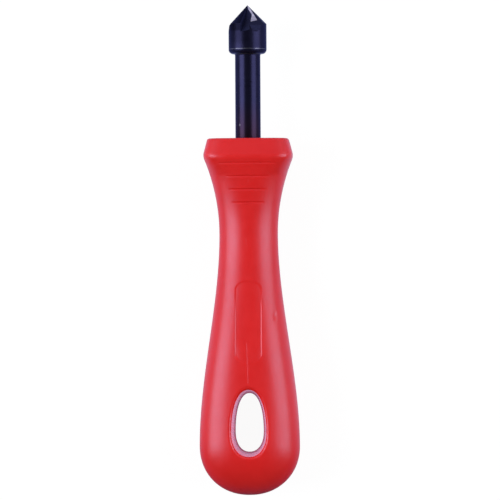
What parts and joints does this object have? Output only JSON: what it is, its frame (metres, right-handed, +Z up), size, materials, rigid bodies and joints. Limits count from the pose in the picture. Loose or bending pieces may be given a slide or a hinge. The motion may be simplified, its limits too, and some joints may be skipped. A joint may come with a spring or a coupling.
{
  "type": "hand countersink",
  "caption": "Hand countersink: a blackened fluted cutting bit with a right-angled cone on a plain shank, set in a waisted red plastic handle with a hang hole.",
  "frame": {"origin": "middle of the tool's bounding box, on the surface that it lies on", "axes": "+Y along the tool to its cutting tip, +Z up out of the front of the handle, +X to the right as the front is seen with the tip at the top"},
  "size_m": [0.0316, 0.1547, 0.023],
  "materials": {
    "red_plastic": "satin",
    "blackened_steel": "black oxide, satin"
  },
  "bodies": {
    "root": {"handle": "red_plastic", "countersink_bit": "blackened_steel"}
  },
  "joints": []
}
